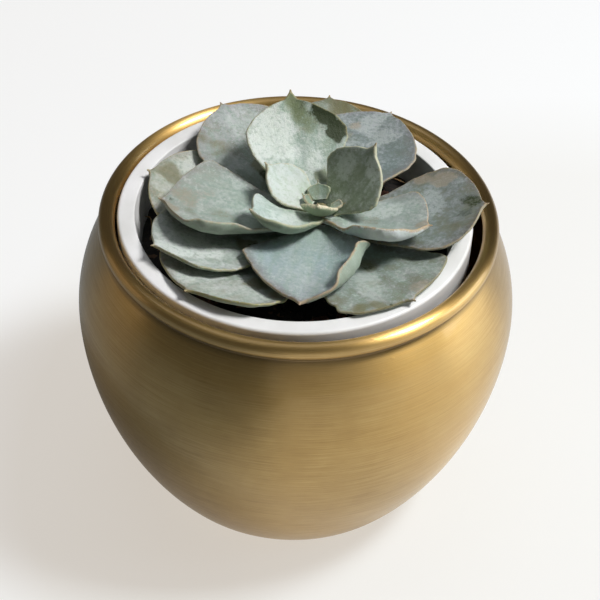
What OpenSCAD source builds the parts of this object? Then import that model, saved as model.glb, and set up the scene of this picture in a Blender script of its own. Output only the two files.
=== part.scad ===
// Echeveria rosette in a white grow pot, standing loose in a round golden metal pot.
// Millimetres, +Z up. The origin is at the centre of the face that the pot stands on.

/* [Metal pot] */
// Greatest diameter of the round body
body_d = 127.4; // [120:0.2:135]
// Height of the top of the rim above the face it stands on
pot_h = 96.4; // [90:0.2:104]
// Height of the body's widest part
belly_z = 63.5; // [58:0.5:68]
// Diameter of the flat that it stands on
foot_d = 72; // [66:1:78]
// Outer diameter of the rolled rim
rim_d = 114; // [112:0.5:116]
// Diameter of the roll itself
roll_d = 4.7; // [4:0.1:5]
// Thickness of the spun sheet
sheet_t = 1; // [0.8:0.1:1.2]
// Fullness of the lower body: 2 is an ellipse
lower_full = 1.8; // [1.7:0.05:2.1]

/* [Base pad] */
// Diameter of the felt pad
pad_d = 66; // [50:1:66]
// Thickness of the felt pad
pad_t = 1; // [0.8:0.1:1.5]

/* [Grow pot] */
// Outer diameter of the grow pot's rim
grow_d = 101.2; // [98:0.2:101.4]
// Width of the rim's top face
grow_lip = 4.4; // [3.5:0.1:5]
// Height of the rim band
grow_band = 11; // [8:0.5:14]
// Wall thickness below the rim
grow_wall = 2.4; // [2:0.1:3]
// Outer diameter of the grow pot's foot
grow_foot_d = 64; // [58:1:66]
// Diameter of the middle drain hole
drain_d = 10; // [6:0.5:12]
// Number of small drain holes round it
drain_count = 4; // [3:1:6]
// How far the grow pot stands off the metal pot's axis
grow_shift = [-1.1, 0.6];

/* [Soil and stem] */
// Depth of the soil's edge below the grow pot's rim
soil_drop = 10.5; // [8:0.5:12]
// Rise of the soil in the middle
soil_mound = 1; // [0.5:0.25:3]
// Diameter of the stem
stem_d = 7; // [6:0.5:8]
// Number of bark chips on the soil
chip_count = 22; // [10:1:30]

/* [Rosette] */
// Where the middle of the rosette stands
heart = [6, -2];
// Height of the growing point
heart_z = 101; // [98:0.5:103]
// Thickness of a leaf in its middle
leaf_t = 2.3; // [1.8:0.1:2.6]
// Thickness of a leaf at its margin
edge_t = 0.7; // [0.5:0.1:0.9]
// Width of a leaf where it leaves the stem
leaf_foot = 5; // [4:0.5:8]
// Distance from the stem's axis to where a leaf begins
leaf_root = 2.8; // [2:0.2:3.4]

/* [Hidden] */
// One row for each leaf, from the lowest on the stem to the growing point.
// Angles are in degrees, and left and right are as seen from the stem.
//   turn    compass direction that the leaf points in, anticlockwise from +X
//   seat    height where it leaves the stem
//   long, wide   length and greatest width
//   lift    slope of its midrib at the stem and at its tip
//   cup     how far its left and its right half curl up
//   roll    turn about its own midrib, left side up
//   sweep   sideways bend of its midrib
//   blunt   2 is a round end, less is pointed, more is square
//   broad   where it is widest, as a share of its length
//   wave    height of the ripples at its margin
//    turn  seat   long  wide  lift       cup       roll sweep blunt broad wave
LEAVES = [
    [224,  90.3, 49,   40,   [4, 17],   [5, 5],      4,   4,  3.1,  0.70, 0.6],
    [161,  88.2, 50.5, 31,   [3, 20],   [4, 8],     -6,   4,  2.5,  0.68, 0.4],
    [87,   89.4, 53,   31,   [7, 12],   [6, 8],      0,   3,  2.0,  0.65, 0.5],
    [303,  90.9, 41.5, 38,   [6, 14],   [8, 9],      0,   7,  2.2,  0.76, 0.6],
    [1,    93.2, 45,   35,   [5, 24],   [14, 13],    0,  -4,  1.9,  0.73, 0.4],
    [202,  92.9, 48,   31,   [3, 17],   [10, 6],     2,   6,  2.5,  0.69, 0.5],
    [127,  91.8, 51,   33.5, [8, 17],   [12, 3],    -2,  -3,  2.2,  0.62, 0.4],
    [72,   94.9, 48,   34,   [6, 5],    [16, 16],    0, -11,  1.4,  0.64, 0.4],
    [193,  95.8, 43,   40,   [4, 15],   [45, 20],    4, -20,  1.4,  0.72, 0.3],
    [267,  95.0, 38.5, 38.5, [5, 10],   [50, 8],    -4,  -8,  1.4,  0.53, 0.4],
    [115,  97.2, 36.5, 30.5, [18, 46],  [22, 21],    1, -17,  1.5,  0.65, 0.5],
    [330,  97.5, 31,   29,   [9, 22],   [15, 48],   -2,  15,  2.2,  0.68, 0.3],
    [232,  98.2, 24,   20,   [12, 42],  [37, 9],     0, -40,  2.5,  0.70, 0.2],
    [23,   98.6, 23,   24,   [43, 67],  [18, 5],     6,   8,  1.4,  0.48, 0.3],
    [156,  99.4, 17.5, 15,   [22, 42],  [14, 24],   -2,  -4,  1.5,  0.50, 0.2],
    [100, 100.4,  5,    7,   [35, 55],  [30, 30],    0,   0,  1.8,  0.60, 0.1],
    [262, 100.2,  6.5, 10,   [45, 84],  [30, 30],    0,   0,  1.4,  0.45, 0.1],
    [348, 100.6,  4,    4.5, [20, 40],  [40, 40],    0,   0,  1.5,  0.60, 0],
    [172, 100.7,  3.5,  4,   [40, 60],  [40, 40],    0,   0,  1.5,  0.60, 0],
];

$fn = 96;

// Where a leaf is cut into sections, as shares of its length. The last makes its point.
STATIONS = [0, 0.09, 0.2, 0.32, 0.44, 0.55, 0.65, 0.74, 0.82, 0.89, 0.945, 0.985, 1.0, 1.02];
// Where each section has its points, from the right margin to the left
ACROSS = [-1, -0.93, -0.7, -0.37, 0, 0.37, 0.7, 0.93, 1];
point_w = 0.5;
point_l = 1.6;
function reach(l, i) = STATIONS[i] > 1 ? 1 + point_l / l[2] : STATIONS[i];

function lerp(a, b, t) = a + (b - a) * t;
function shoulder(t, broad) = sin(90 * pow(t / broad, 1.3));
function crown(t, broad, blunt) =
    pow(max(0, 1 - pow((t - broad) / (1 - broad), blunt)), 1 / 1.7);

// Half of a leaf's width at the share t of its length
function half_width(l, t) =
    let (foot = min(leaf_foot, l[3] * 0.6) / 2, full = l[3] / 2)
    t > 1 ? point_w / 4 :
    t == 1 ? point_w :
    t <= l[9] ? lerp(foot, full, shoulder(t, l[9])) :
    max(point_w, full * crown(t, l[9], l[8]));

function thickness(l, t, s) =
    let (body = min(leaf_t, l[3] * 0.16) - edge_t)
    t > 1 ? 0.35 :
    edge_t + body * pow(max(0, 1 - s * s), 0.8) * sqrt(1 - pow(min(t, 1), 6));

// Direction of the midrib, and the level direction across it
function heading(l, t) =
    let (lift = lerp(l[4][0], l[4][1], t), turn = l[7] * t)
    [cos(lift) * cos(turn), cos(lift) * sin(turn), sin(lift)];
function sideways(l, t) = [-sin(l[7] * t), cos(l[7] * t), 0];

// Midrib: one point for each station, each a step on from the last
function midrib(l) = [
    for (i = 0, p = [leaf_root, 0, 0]; i < len(STATIONS);
         p = p + (i + 1 < len(STATIONS) ? (reach(l, i + 1) - reach(l, i)) * l[2]
                * heading(l, (reach(l, i + 1) + reach(l, i)) / 2) : [0, 0, 0]),
         i = i + 1) p];

// A point of the section at t, at the share s of its half width; face is 1 above and -1 below
function leaf_point(l, rib, t, s, face) =
    let (
        along = heading(l, t),
        flat_side = sideways(l, t),
        flat_up = cross(along, flat_side),
        tilt = l[6] * min(1, t / 0.4),
        side = flat_side * cos(tilt) + flat_up * sin(tilt),
        up = flat_up * cos(tilt) - flat_side * sin(tilt),
        half = half_width(l, t),
        curl = max(1, s > 0 ? l[5][0] : l[5][1]),
        rad = curl * PI / 180,
        out = half * sin(curl * abs(s)) / rad * sign(s),
        ripple = l[10] * pow(abs(s), 1.5) * min(1, half / 6)
                 * sin(620 * t + (s > 0 ? 0 : 150) + l[0]),
        high = half * (1 - cos(curl * s)) / rad + ripple,
        lean = [sin(curl * abs(s)) * sign(s), cos(curl * s)],
        th = thickness(l, t, s) * (face > 0 ? 0.4 : -0.6)
    )
    rib + side * (out - lean[0] * th) + up * (high + lean[1] * th);

function leaf_ring(l, rib, t) = concat(
    [for (s = ACROSS) leaf_point(l, rib, t, s, 1)],
    [for (i = [len(ACROSS) - 1:-1:0]) leaf_point(l, rib, t, ACROSS[i], -1)]);

// Sheet outline of the metal pot: its outer curve from the foot to the neck
neck_z = pot_h - roll_d;
neck_r = rim_d / 2 - roll_d * 0.4;
foot_r = 39.5;
belly_r = body_d / 2;
low_a = belly_z / pow(1 - pow(foot_r / belly_r, lower_full), 1 / lower_full);
high_a = (neck_z - belly_z) / sqrt(1 - pow(neck_r / belly_r, 2));

function body_r(z) = z < belly_z
    ? belly_r * pow(1 - pow((belly_z - z) / low_a, lower_full), 1 / lower_full)
    : belly_r * sqrt(1 - pow((z - belly_z) / high_a, 2));
function bend(a, b, c, t) = a * pow(1 - t, 2) + b * 2 * t * (1 - t) + c * pow(t, 2);

corner_z = 6;
BODY_LINE = concat(
    [for (i = [0:5]) bend([foot_d / 2, pad_t], [body_r(1.4), pad_t], [body_r(corner_z), corner_z], i / 5)],
    [for (z = [9, 12.5, 16.5, 21, 26, 31, 36, 41, 46, 51, 56, 60, 64, 68, 72, 76, 80, 84, 87.5]) [body_r(z), z]],
    [[neck_r, neck_z]]);

// A line moved to its left by d
function edge_normal(p, q) = let (v = q - p) [-v[1], v[0]] / norm(v);
function beside(line, d) = [
    for (i = [0:len(line) - 1])
        let (
            a = edge_normal(line[max(0, i - 1)], line[max(1, i)]),
            b = edge_normal(line[min(len(line) - 2, i)], line[min(len(line) - 1, i + 1)]),
            n = (a + b) / norm(a + b)
        ) line[i] + n * d / (n * a)];

module metal_pot() {
    line = concat([[0, pad_t]], BODY_LINE);
    inner = beside(line, sheet_t);
    roll_c = [rim_d / 2 - roll_d / 2, pot_h - roll_d / 2];
    sweep = [for (a = [258:-14.4:-45]) a];
    color([0.72, 0.58, 0.33]) union() {
        rotate_extrude($fn = 96) polygon(concat(
            line, [[neck_r - 0.1, neck_z + 0.5], [neck_r - sheet_t, neck_z + 0.5]],
            [for (i = [len(inner) - 1:-1:1]) inner[i]], [[0, pad_t + sheet_t]]));
        rotate_extrude($fn = 96) polygon(concat(
            [for (a = sweep) roll_c + roll_d / 2 * [cos(a), sin(a)]],
            [for (i = [len(sweep) - 1:-1:0])
                roll_c + (roll_d / 2 - sheet_t) * [cos(sweep[i]), sin(sweep[i])]]));
    }
}

module base_pad() {
    color([0.13, 0.12, 0.11]) cylinder(d = pad_d, h = pad_t);
}

// The grow pot stands on the metal pot's floor with a hair of clearance
rim_z = pot_h - 0.6;
floor_z = pad_t + sheet_t + 0.1;
grow_r = grow_d / 2;
foot_in_r = grow_foot_d / 2;
shoulder_z = rim_z - grow_band;
step_r = grow_r - 2.2;
soil_z = rim_z - soil_drop;
soil_r = grow_r - grow_lip;

function grow_inner(z) = lerp(foot_in_r - grow_wall, soil_r, (z - floor_z - grow_wall) / (rim_z - floor_z - grow_wall));

module grow_pot() {
    lip = 1.6;
    color([0.92, 0.92, 0.91]) translate(grow_shift) difference() {
        rotate_extrude() polygon([
            [0, floor_z], [foot_in_r - 1, floor_z], [foot_in_r, floor_z + 1],
            [step_r, shoulder_z - 1.2], [grow_r - 0.5, shoulder_z], [grow_r, shoulder_z + 0.5],
            [grow_r, rim_z - lip], [grow_r - 0.25, rim_z - lip * 0.55],
            [grow_r - 0.8, rim_z - lip * 0.18], [grow_r - lip, rim_z],
            [soil_r + 1.2, rim_z], [soil_r + 0.35, rim_z - 0.35], [soil_r, rim_z - 1.2],
            [foot_in_r - grow_wall, floor_z + grow_wall], [0, floor_z + grow_wall]]);
        translate([0, 0, floor_z - 1]) cylinder(d = drain_d, h = grow_wall + 2);
        for (i = [0:drain_count - 1]) rotate(45 + 360 / drain_count * i)
            translate([foot_in_r * 0.62, 0, floor_z - 1]) cylinder(d = drain_d * 0.6, h = grow_wall + 2);
    }
}

module soil() {
    gap = 0.1;
    bottom = floor_z + grow_wall;
    color([0.12, 0.09, 0.07]) translate(grow_shift) rotate_extrude() polygon([
        [0, bottom], [grow_inner(bottom) - gap, bottom],
        [grow_inner(soil_z) - gap, soil_z], [soil_r - 4, soil_z + 0.5],
        [soil_r * 0.72, soil_z + soil_mound * 0.55], [soil_r * 0.42, soil_z + soil_mound * 0.9],
        [0, soil_z + soil_mound]]);
}

// Where the chips lie: compass direction, distance from the middle, size and turn
CHIPS = [for (i = [0:chip_count - 1]) [
    137.5 * i + 20, 22 + 19 * ((i * 7) % chip_count) / chip_count,
    3 + ((i * 5) % 7) * 0.45, (i * 67) % 180]];

module bark_chips() {
    color([0.33, 0.2, 0.14]) translate(grow_shift)
        for (c = CHIPS) rotate(c[0]) translate([c[1], 0, soil_z + 1.3 - c[1] * 0.015])
            rotate([(c[3] % 30) - 15, (c[3] % 22) - 11, c[3]])
            cube([c[2], c[2] * 0.55, c[2] * 0.35], center = true);
}

module stem() {
    color([0.45, 0.5, 0.35]) translate([heart[0], heart[1], 0]) rotate_extrude($fn = 32) polygon([
        [0, soil_z - 6], [stem_d / 2 + 0.6, soil_z - 6], [stem_d / 2 + 0.3, soil_z + 3],
        [stem_d / 2, heart_z - 4], [stem_d / 2 - 0.5, heart_z - 2],
        [stem_d / 2 - 1.6, heart_z - 0.6], [0, heart_z]]);
}

module leaf(l) {
    n = len(STATIONS);
    m = 2 * len(ACROSS);
    ribs = midrib(l);
    points = concat(
        [for (i = [0:n - 1]) each leaf_ring(l, ribs[i], reach(l, i))],
        [ribs[0], ribs[n - 1] + 0.3 * heading(l, 1)]);
    faces = concat(
        [for (i = [0:n - 2], j = [0:m - 1])
            let (a = i * m + j, b = i * m + (j + 1) % m)
            each [[a, b, a + m], [b, b + m, a + m]]],
        [for (j = [0:m - 1]) [n * m, (j + 1) % m, j]],
        [for (j = [0:m - 1]) [n * m + 1, (n - 1) * m + j, (n - 1) * m + (j + 1) % m]]);
    color([0.58, 0.68, 0.64])
        translate([heart[0], heart[1], l[1]])
        rotate(l[0])
        polyhedron(points, faces, convexity = 6);
}

metal_pot();
base_pad();
grow_pot();
soil();
bark_chips();
stem();
leaf(LEAVES[0]);  // leaf_01
leaf(LEAVES[1]);  // leaf_02
leaf(LEAVES[2]);  // leaf_03
leaf(LEAVES[3]);  // leaf_04
leaf(LEAVES[4]);  // leaf_05
leaf(LEAVES[5]);  // leaf_06
leaf(LEAVES[6]);  // leaf_07
leaf(LEAVES[7]);  // leaf_08
leaf(LEAVES[8]);  // leaf_09
leaf(LEAVES[9]);  // leaf_10
leaf(LEAVES[10]);  // leaf_11
leaf(LEAVES[11]);  // leaf_12
leaf(LEAVES[12]);  // leaf_13
leaf(LEAVES[13]);  // leaf_14
leaf(LEAVES[14]);  // leaf_15
leaf(LEAVES[15]);  // leaf_16
leaf(LEAVES[16]);  // leaf_17
leaf(LEAVES[17]);  // leaf_18
leaf(LEAVES[18]);  // leaf_19
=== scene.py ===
import math

import bpy
import numpy as np
from mathutils import Matrix, Vector


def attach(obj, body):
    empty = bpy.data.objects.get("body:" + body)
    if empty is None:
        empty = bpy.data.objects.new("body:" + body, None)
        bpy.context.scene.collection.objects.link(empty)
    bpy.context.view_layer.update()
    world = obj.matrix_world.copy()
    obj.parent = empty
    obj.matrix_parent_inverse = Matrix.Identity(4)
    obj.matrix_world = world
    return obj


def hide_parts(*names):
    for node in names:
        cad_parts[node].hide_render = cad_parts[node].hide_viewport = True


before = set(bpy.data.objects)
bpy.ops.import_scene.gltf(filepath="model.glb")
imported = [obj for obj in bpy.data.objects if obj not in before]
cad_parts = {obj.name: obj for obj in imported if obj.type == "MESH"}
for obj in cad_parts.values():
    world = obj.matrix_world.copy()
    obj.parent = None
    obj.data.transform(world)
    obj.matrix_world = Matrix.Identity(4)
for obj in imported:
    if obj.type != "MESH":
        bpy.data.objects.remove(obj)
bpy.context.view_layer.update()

mm = 0.001


def linearColor(hexCode):
    parts = [int(hexCode[i:i + 2], 16) / 255 for i in (1, 3, 5)]
    return tuple(p / 12.92 if p <= 0.04045 else ((p + 0.055) / 1.055) ** 2.4 for p in parts) + (1.0,)


def setInputs(tree, node, inputs):
    # a node stands for its first output, and a hex colour is turned to linear
    for name, value in inputs.items():
        if isinstance(value, bpy.types.Node):
            value = value.outputs[0]
        if isinstance(value, bpy.types.NodeSocket):
            tree.links.new(value, node.inputs[name])
        else:
            node.inputs[name].default_value = linearColor(value) if isinstance(value, str) else value


def addNode(tree, kind, settings=None, inputs=None):
    node = tree.nodes.new("ShaderNode" + kind)
    for name, value in (settings or {}).items():
        if name == "stops":  # a colour ramp's stops, each a place and a hex colour
            ramp = node.color_ramp
            while len(ramp.elements) < len(value):
                ramp.elements.new(0.5)
            for element, (place, tint) in zip(ramp.elements, value):
                element.position = place
                element.color = linearColor(tint)
        else:
            setattr(node, name, value)
    setInputs(tree, node, inputs or {})
    return node


def startMaterial(name):
    material = bpy.data.materials.new(name)
    material.use_nodes = True
    tree = material.node_tree
    tree.nodes.clear()
    shader = addNode(tree, "BsdfPrincipled")
    addNode(tree, "OutputMaterial", inputs={"Surface": shader})
    place = addNode(tree, "TexCoord").outputs["Object"]
    return material, tree, shader, place


def fleckedMaterial(name, look):
    # one noise, as coarse as the real flecks, tints the surface and roughens it
    material, tree, shader, place = startMaterial(name)
    fleck = addNode(tree, "TexNoise", inputs={
        "Vector": place, "Scale": 1 / (look["fleckMm"] * mm), "Detail": look["detail"],
        "Roughness": look["jagged"]})
    tint = addNode(tree, "ValToRGB", {"stops": look["stops"]}, {"Fac": fleck})
    setInputs(tree, shader, {"Base Color": tint, "Roughness": look["roughness"]})
    if "relief" in look:  # how strong it is, and how high in metres
        strength, distance = look["relief"]
        setInputs(tree, shader, {"Normal": addNode(tree, "Bump", inputs={
            "Strength": strength, "Distance": distance, "Height": fleck})})
    return material, tree, shader, place, tint


def pickNothing():
    bpy.ops.object.select_all(action="DESELECT")


def pickOnly(*pieces):
    pickNothing()
    for piece in pieces:
        piece.select_set(True)
    bpy.context.view_layer.objects.active = pieces[0]


def smooth(piece, angle):
    pickOnly(piece)
    bpy.ops.object.shade_smooth_by_angle(angle=math.radians(angle))


def dress(piece, name, material, body, replaced=()):
    piece.name = name
    piece.data.materials.clear()
    piece.data.materials.append(material)
    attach(piece, body)
    if replaced:
        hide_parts(*replaced)


def spinOutline(outline, steps, center=(0, 0)):
    # a ring of vertices is laid on the wall's outline, then spun round the upright axis
    pickNothing()
    bpy.ops.mesh.primitive_circle_add(vertices=len(outline), radius=0.01)
    piece = bpy.context.object
    for vertex, (r, z) in zip(piece.data.vertices, outline):
        vertex.co = (center[0] + r, center[1], z)
    bpy.ops.object.mode_set(mode="EDIT")
    bpy.ops.mesh.select_all(action="DESELECT")
    bpy.ops.object.mode_set(mode="OBJECT")
    for edge in piece.data.edges:  # the edge on the axis would spin into nothing
        edge.select = all(abs(piece.data.vertices[v].co.x - center[0]) < 1e-7 for v in edge.vertices)
    bpy.ops.object.mode_set(mode="EDIT")
    bpy.ops.mesh.select_mode(type="EDGE")
    bpy.ops.mesh.delete(type="EDGE")
    bpy.ops.mesh.select_mode(type="VERT")
    bpy.ops.mesh.select_all(action="SELECT")
    bpy.ops.mesh.spin(steps=steps, angle=math.tau, center=(center[0], center[1], 0), axis=(0, 0, 1))
    bpy.ops.mesh.select_all(action="SELECT")
    bpy.ops.mesh.remove_doubles(threshold=1e-6)
    bpy.ops.mesh.normals_make_consistent(inside=False)
    bpy.ops.object.mode_set(mode="OBJECT")
    return piece


def vertexPlaces(piece):
    return np.array([vertex.co[:] for vertex in piece.data.vertices])


def cloud(points, size, seed=0):
    # soft value noise between -1 and 1 at points in metres, with cells of that size
    p = np.asarray(points) / size + np.array([17.3, 5.1, 9.7]) * (seed + 1)
    cell = np.floor(p).astype(int)
    part = p - cell
    part = part * part * (3 - 2 * part)
    total = np.zeros(len(p))
    for corner in np.ndindex(2, 2, 2):
        c = cell + corner
        key = (c[:, 0] * 73856093) ^ (c[:, 1] * 19349663) ^ (c[:, 2] * 83492791) ^ (seed * 2654435)
        value = np.sin((key % 100003) * 12.9898) * 43758.5453
        weight = np.prod(np.where(np.array(corner) == 1, part, 1 - part), axis=1)
        total += weight * (value - np.floor(value))
    return total * 2 - 1


view = {"place": (0.00127, -0.4166, 0.43985), "down": 42.16, "lean": 2.5, "lens": 114}  # angles in degrees
bpy.ops.object.camera_add()
camera = bpy.context.object
camera.name = "camera"
camera.data.lens = view["lens"]
camera.data.sensor_width = 36
camera.data.clip_start = 0.02
camera.matrix_world = (Matrix.Translation(view["place"])
                       @ Matrix.Rotation(math.radians(90 - view["down"]), 4, "X")
                       @ Matrix.Rotation(math.radians(view["lean"]), 4, "Z"))
bpy.context.scene.camera = camera
bpy.context.scene.view_settings.view_transform = "Standard"

# Frosted acrylic table, matt, whose painted glow stands in for fill light, so shadows on it stay pale and
# warm
table = {"surface": "#8f989f", "glow": "#cac3ba", "farGlow": "#d2cdc8", "farFrom": (0.126, 0.17),
         "seenGlow": 1.0, "castGlow": (0.05, 0.85), "castFrom": (-0.08, 0.0), "grainMm": 1.1}
acrylic, tree, shader, place = startMaterial("frostedTablePaintedGlow")
fromPot = addNode(tree, "VectorMath", {"operation": "LENGTH"}, {0: place}).outputs["Value"]
sideways = addNode(tree, "SeparateXYZ", inputs={"Vector": place}).outputs["X"]
# painted light: for the light it casts, the glow fades towards the pot's left, so the pot reflects a darker
# floor there
cast = addNode(tree, "MapRange", inputs={
    0: sideways, 1: table["castFrom"][0], 2: table["castFrom"][1],
    3: table["castGlow"][0], 4: table["castGlow"][1]})
seen = addNode(tree, "LightPath").outputs["Is Camera Ray"]
glow = addNode(tree, "Mix", {"data_type": "FLOAT"},  # the table lights the pot less than it shows
               {0: seen, 2: cast, 3: table["seenGlow"]})
# painted light: the glow also turns brighter and less warm away from the pot
far = addNode(tree, "Math", {"operation": "MULTIPLY_ADD"}, {0: sideways, 1: -0.5, 2: fromPot})
far = addNode(tree, "MapRange", inputs={
    0: far, 1: table["farFrom"][0], 2: table["farFrom"][1]})
paintedGlowTint = addNode(tree, "Mix", {"data_type": "RGBA"},
                 {0: far, 6: table["glow"], 7: table["farGlow"]}).outputs[2]
frost = addNode(tree, "TexNoise", inputs={
    "Vector": place, "Scale": 1 / (table["grainMm"] * mm), "Detail": 2.0})
frost = addNode(tree, "Bump", inputs={"Strength": 0.05, "Distance": 0.0001, "Height": frost})
setInputs(tree, shader, {"Base Color": table["surface"], "Roughness": 0.8, "Emission Color": paintedGlowTint,
                         "Emission Strength": glow, "Normal": frost})
pickNothing()
bpy.ops.mesh.primitive_plane_add(size=6)
floor = bpy.context.object
floor.name = "shelf"
floor.data.materials.append(acrylic)

# each lamp: compass direction anticlockwise from +X, height angle, distance, width, height, watts and tint
lamps = {"keyWindow": (0, 58, 1.2, 0.28, 0.28, 14.6, "#fdfcfa"),
         "topCard": (110, 74, 1.25, 0.9, 0.9, 2.2, "#f4f8ff"),
         "sideCard": (6, 16, 0.9, 0.56, 0.5, 3.0, "#f1f7ff"),
         "frontCard": (-73, 9, 0.95, 1.0, 0.4, 0.3, "#ffffff"),
         "leftCard": (172, 16, 0.95, 0.6, 0.5, 0.45, "#ffe9d0")}
air = {"tint": "#fbfaf8", "strength": 0.06}
aim = Vector((0, 0, 0.07))  # every lamp points at the pot's belly
for name, (turn, height, away, width, tall, watts, tint) in lamps.items():
    turn, height = math.radians(turn), math.radians(height)
    place = aim + Vector((math.cos(turn) * math.cos(height), math.sin(turn) * math.cos(height),
                          math.sin(height))) * away
    bpy.ops.object.light_add(type="AREA", location=place)
    lamp = bpy.context.object
    lamp.name = name
    lamp.data.shape = "RECTANGLE"
    lamp.data.size, lamp.data.size_y = width, tall
    lamp.data.energy = watts
    lamp.data.color = linearColor(tint)[:3]
    lamp.rotation_euler = (aim - place).to_track_quat("-Z", "Y").to_euler()
world = bpy.data.worlds.new("studioAir")
bpy.context.scene.world = world
world.use_nodes = True
setInputs(world.node_tree, world.node_tree.nodes["Background"],
          {"Color": air["tint"], "Strength": air["strength"]})
print("stage ready")

# Spun brass sheet, lathe-brushed and lacquered: a long soft glint, cloudy rub marks, a few hair scratches
# and painted shade as a dark band below the roll; its rings, about 0.1 mm apart in life, are drawn twice as
# coarse to show
brass = {"tone": "#c4a161", "dark": "#b69356", "pale": "#cfaf70", "roughness": 0.4, "lineMm": 0.22,
         "rubMm": 14, "rubShare": 0.32, "brushed": 0.86, "lacquer": 0.6, "lacquerRough": 0.13,
         "shadeUnderRoll": "#5f4c2c", "grooveAt": 0.0913, "grooveHalf": (0.0004, 0.0019)}


def makeBrass(name):
    material, tree, shader, place = startMaterial(name)
    flat = addNode(tree, "VectorMath", {"operation": "MULTIPLY"}, {0: place, 1: (1, 1, 0)})
    around = addNode(tree, "VectorMath", {"operation": "NORMALIZE"}, {0: flat})
    upright = addNode(tree, "SeparateXYZ", inputs={"Vector": place}).outputs["Z"]
    reach = addNode(tree, "VectorMath", {"operation": "LENGTH"}, {0: flat}).outputs["Value"]
    slide = addNode(tree, "Math", {"operation": "SUBTRACT"}, {0: upright, 1: reach})
    fine = addNode(tree, "Math", {"operation": "MULTIPLY"},
                   {0: slide, 1: 1 / (brass["lineMm"] * mm)})
    lift = addNode(tree, "CombineXYZ", inputs={"Z": fine})
    ringed = addNode(tree, "VectorMath", {"operation": "MULTIPLY_ADD"},
                     {0: around, 1: (4, 4, 0), 2: lift})
    lines = addNode(tree, "TexNoise", inputs={
        "Vector": ringed, "Scale": 1.0, "Detail": 3.0, "Roughness": 0.6})
    rubbed = addNode(tree, "TexNoise", inputs={
        "Vector": place, "Scale": 1 / (brass["rubMm"] * mm), "Detail": 5.0, "Roughness": 0.62})
    toned = addNode(tree, "Mix", {"data_type": "FLOAT"},
                    {0: brass["rubShare"], 2: lines, 3: rubbed})
    tint = addNode(tree, "ValToRGB", {"stops": [
        (0.32, brass["dark"]), (0.5, brass["tone"]), (0.68, brass["pale"])]}, {"Fac": toned})
    # painted shade: the brass turns dark in a band just under the roll, full within 0.4 mm of it and gone
    # by 1.9 mm
    aside = addNode(tree, "Math", {"operation": "SUBTRACT"},
                    {0: upright, 1: brass["grooveAt"]})
    apart = addNode(tree, "Math", {"operation": "ABSOLUTE"}, {0: aside})
    dull = addNode(tree, "MapRange", inputs={
        0: apart, 1: brass["grooveHalf"][0], 2: brass["grooveHalf"][1], 3: 0.75, 4: 0.0})
    tint = addNode(tree, "Mix", {"data_type": "RGBA"}, {0: dull, 6: tint, 7: brass["shadeUnderRoll"]})
    rough = addNode(tree, "MapRange", inputs={
        0: toned, 1: 0.35, 2: 0.65, 3: brass["roughness"] + 0.05, 4: brass["roughness"] - 0.05})
    lathe = addNode(tree, "Tangent", {"direction_type": "RADIAL", "axis": "Z"})
    turned = addNode(tree, "Mapping", inputs={
        "Vector": place, "Rotation": (0.5, 0.9, 0.3), "Scale": (90, 700, 700)})
    hairs = addNode(tree, "TexNoise", inputs={"Vector": turned, "Scale": 1.0, "Detail": 1.0})
    scratched = addNode(tree, "MapRange", inputs={
        0: hairs, 1: 0.72, 2: 0.76, 3: 0.0, 4: 1.2})
    height = addNode(tree, "Math", {"operation": "ADD"}, {0: lines, 1: scratched})
    bump = addNode(tree, "Bump", inputs={"Strength": 0.2, "Distance": 0.00005, "Height": height})
    setInputs(tree, shader, {
        "Base Color": tint.outputs[2], "Metallic": 1.0, "Roughness": rough, "Anisotropic": brass["brushed"],
        "Anisotropic Rotation": 0.25, "Tangent": lathe, "Coat Weight": brass["lacquer"],
        "Coat Roughness": brass["lacquerRough"], "Normal": bump})
    return material


metalPot = {"width": 0.1274, "height": 0.0964, "belly": 0.0635, "foot": 0.072, "rim": 0.114, "roll": 0.0047,
            "sheet": 0.001, "lower": 1.8, "stand": 0.001, "footEdge": 0.0395, "facets": 200}


def bodyRadius(z):
    big, p = metalPot["width"] / 2, metalPot["lower"]
    if z < metalPot["belly"]:
        low = metalPot["belly"] / (1 - (metalPot["footEdge"] / big) ** p) ** (1 / p)
        return big * (1 - ((metalPot["belly"] - z) / low) ** p) ** (1 / p)
    neckZ, neckR = metalPot["height"] - metalPot["roll"], metalPot["rim"] / 2 - metalPot["roll"] * 0.4
    high = (neckZ - metalPot["belly"]) / math.sqrt(1 - (neckR / big) ** 2)
    return big * math.sqrt(1 - ((z - metalPot["belly"]) / high) ** 2)


def curve(a, b, c, shares):
    # points on a curve from a to c that leans towards b
    return [tuple(a[k] * (1 - t) ** 2 + b[k] * 2 * t * (1 - t) + c[k] * t * t for k in (0, 1))
            for t in shares]


def potOutline():
    p = metalPot
    neckZ, bead = p["height"] - p["roll"], p["roll"] / 2
    wall = [(r, p["stand"]) for r in (0, 0.012, 0.024, 0.033)]
    wall += curve((p["foot"] / 2, p["stand"]), (bodyRadius(0.0014), p["stand"]), (bodyRadius(0.006), 0.006),
                  np.arange(9) / 8)
    wall += [(bodyRadius(z), z) for z in np.linspace(0.0075, neckZ - 0.0008, 56)]
    middle = (p["rim"] / 2 - bead, p["height"] - bead)
    roll = [(middle[0] + bead * math.cos(g), middle[1] + bead * math.sin(g))
            for g in np.radians(np.linspace(-40, 235, 38))]
    hollow = curve(wall[-1], (wall[-1][0] - 0.00025, wall[-1][1] + 0.0004), roll[0], np.arange(1, 6) / 6)
    points = np.array(wall)
    step = np.gradient(points, axis=0)
    side = np.stack([-step[:, 1], step[:, 0]], 1)
    side /= np.linalg.norm(side, axis=1)[:, None]
    back = points + side * p["sheet"]
    back[0, 0] = 0
    # up the outside, over the rolled edge, down the inside
    return wall + hollow + roll + [tuple(q) for q in back[::-1]]


potShell = spinOutline(potOutline(), metalPot["facets"])
smooth(potShell, 35)
dress(potShell, "spunBrassPot", makeBrass("lathBrushedBrass"), "cachepot", ["metal_pot"])
print("metal pot spun")

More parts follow.
